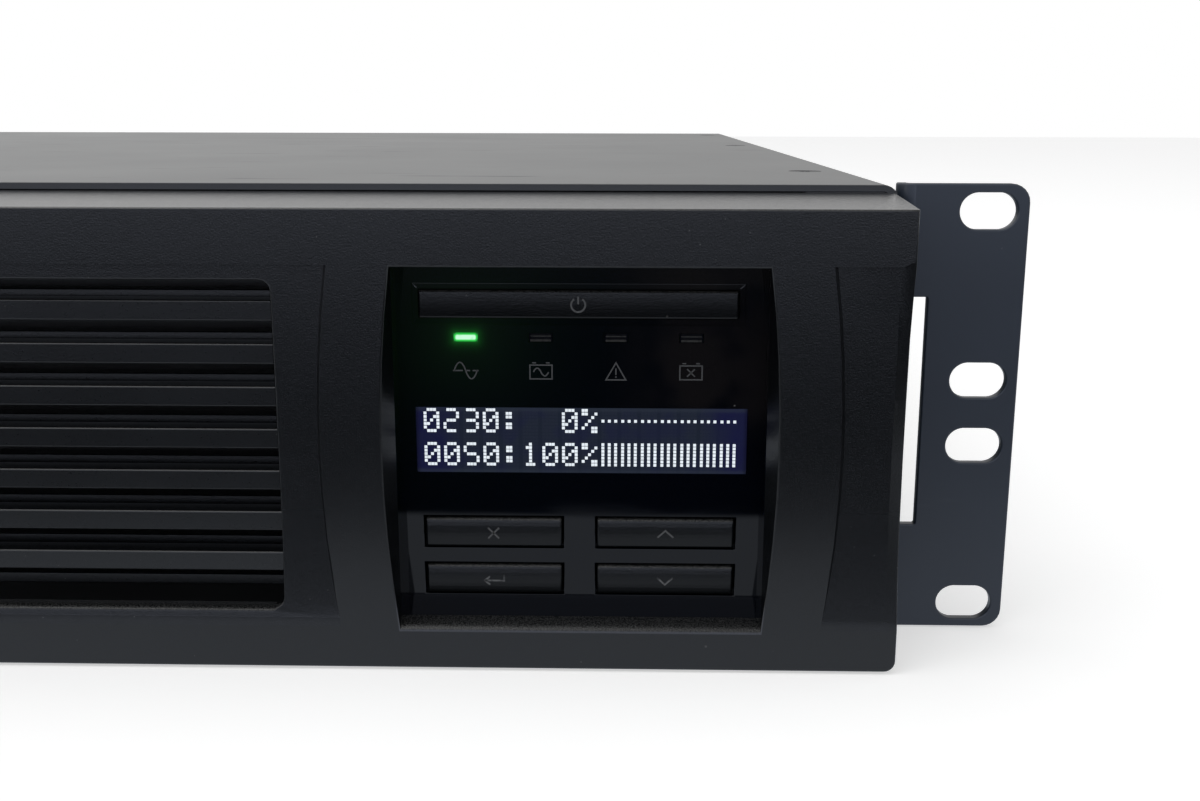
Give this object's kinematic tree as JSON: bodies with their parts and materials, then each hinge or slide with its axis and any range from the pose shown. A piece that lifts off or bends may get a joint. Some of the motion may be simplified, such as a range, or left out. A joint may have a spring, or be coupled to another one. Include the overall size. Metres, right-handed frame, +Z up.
{
  "type": "uninterruptible power supply",
  "caption": "Rack-mounted uninterruptible power supply with louvred pull-off bezel, recessed display and keys, sliding battery tray, rear outlets and fan.",
  "frame": {"origin": "middle of the footprint, on the surface that the case stands on", "axes": "+X to the right as seen from the front, +Y to the rear, +Z up"},
  "size_m": [0.48, 0.477, 0.0863],
  "materials": {
    "case_paint": "satin black powder coat",
    "ear_paint": "satin blue-black powder coat",
    "black_screw": "black zinc",
    "zinc_steel": "zinc plate",
    "bezel_plastic": "fine moulded grain",
    "louvre_plastic": "smooth moulding",
    "display_gloss": "polished black",
    "key_plastic": "satin black",
    "dark_plastic": "moulded black",
    "screen_glass": "clear pane",
    "screen_module": "screen",
    "lit_green": "lit light pipe",
    "unlit_light": "dark light pipe",
    "circuit_board": "solder mask",
    "switch_metal": "tinned",
    "brass": "plated brass",
    "battery_case": "moulded case",
    "red_plastic": "red insulation",
    "black_wire": "black insulation",
    "strap_web": "woven strap",
    "runner_plastic": "natural plastic",
    "rubber": "moulded rubber",
    "core_steel": "varnished laminations",
    "winding": "taped winding",
    "heatsink": "extruded aluminium",
    "capacitor_sleeve": "shrink sleeve",
    "ribbon_grey": "flat cable",
    "reset_white": "moulded cap"
  },
  "bodies": {
    "chassis": {"base_tray": "case_paint", "top_cover": "case_paint", "cover_screws": "black_screw", "front_frame": "case_paint", "bay_partition": "zinc_steel", "bay_runners": "runner_plastic", "rear_panel": "case_paint", "left_ear": "ear_paint", "right_ear": "ear_paint", "ear_screws": "black_screw", "stud_grommets": "rubber", "display_housing": "dark_plastic", "display_fascia": "display_gloss", "lcd_window": "screen_glass", "lcd_module": "screen_module", "online_light": "lit_green", "status_lights": "unlit_light", "display_board": "circuit_board", "key_switches": "switch_metal", "battery_socket": "dark_plastic", "transformer_core": "core_steel", "transformer_coils": "winding", "transformer_bracket": "zinc_steel", "main_board": "circuit_board", "board_standoffs": "brass", "heatsinks": "heatsink", "capacitors": "capacitor_sleeve", "relays": "dark_plastic", "inductors": "winding", "power_leads": "black_wire", "display_ribbon": "ribbon_grey", "fan_frame": "dark_plastic", "fan_guard": "zinc_steel", "rear_screws": "zinc_steel", "mains_inlet": "dark_plastic", "inlet_pins": "brass", "outlet_blocks": "dark_plastic", "breaker_body": "dark_plastic", "usb_port": "zinc_steel", "data_port": "dark_plastic", "slot_cover": "case_paint"},
    "bezel": {"front_bezel": "bezel_plastic", "louvre_slats": "louvre_plastic", "louvre_baffle": "louvre_plastic"},
    "door": {"battery_door": "case_paint"},
    "left_screw": {"left_thumbscrew": "zinc_steel"},
    "right_screw": {"right_thumbscrew": "zinc_steel"},
    "battery": {"battery_tray": "zinc_steel", "battery_blocks": "battery_case", "battery_terminals": "switch_metal", "battery_leads": "red_plastic", "battery_plug": "red_plastic", "pull_strap": "strap_web"},
    "power_key": {"power_button": "key_plastic"},
    "escape": {"escape_key": "key_plastic"},
    "enter": {"enter_key": "key_plastic"},
    "up": {"up_key": "key_plastic"},
    "down": {"down_key": "key_plastic"},
    "breaker_reset": {"breaker_button": "reset_white"},
    "rotor": {"fan_rotor": "dark_plastic"}
  },
  "joints": [
    {"name": "battery_slide", "type": "slide", "parent": "chassis", "child": "battery", "axis": [0, -1, 0], "range_m": [0, 0.22]},
    {"name": "door_off", "type": "slide", "parent": "chassis", "child": "door", "axis": [0, -1, 0], "range_m": [0, 0.275]},
    {"name": "bezel_off", "type": "slide", "parent": "chassis", "child": "bezel", "axis": [0, -1, 0], "range_m": [0, 0.33]},
    {"name": "left_screw_turn", "type": "hinge", "parent": "door", "child": "left_screw", "pos_m": [-0.2075, -0.22, 0.0432], "axis": [0, 1, 0], "continuous": true},
    {"name": "right_screw_turn", "type": "hinge", "parent": "door", "child": "right_screw", "pos_m": [0.11177, -0.22, 0.0432], "axis": [0, 1, 0], "continuous": true},
    {"name": "power_press", "type": "slide", "parent": "chassis", "child": "power_key", "axis": [0, 1, 0], "range_m": [0, 0.0012], "stiffness_N_per_m": 400},
    {"name": "escape_press", "type": "slide", "parent": "chassis", "child": "escape", "axis": [0, 1, 0], "range_m": [0, 0.0012], "stiffness_N_per_m": 300},
    {"name": "enter_press", "type": "slide", "parent": "chassis", "child": "enter", "axis": [0, 1, 0], "range_m": [0, 0.0012], "stiffness_N_per_m": 300},
    {"name": "up_press", "type": "slide", "parent": "chassis", "child": "up", "axis": [0, 1, 0], "range_m": [0, 0.0012], "stiffness_N_per_m": 300},
    {"name": "down_press", "type": "slide", "parent": "chassis", "child": "down", "axis": [0, 1, 0], "range_m": [0, 0.0012], "stiffness_N_per_m": 300},
    {"name": "breaker_trip", "type": "slide", "parent": "chassis", "child": "breaker_reset", "axis": [0, 1, 0], "range_m": [0, 0.004]},
    {"name": "fan_spin", "type": "hinge", "parent": "chassis", "child": "rotor", "pos_m": [0.168, 0.22, 0.0432], "axis": [0, 1, 0], "continuous": true}
  ],
  "couplings": [
    {"joint": "door_off", "follows": "battery_slide", "ratio": 1.25},
    {"joint": "bezel_off", "follows": "battery_slide", "ratio": 1.5}
  ]
}
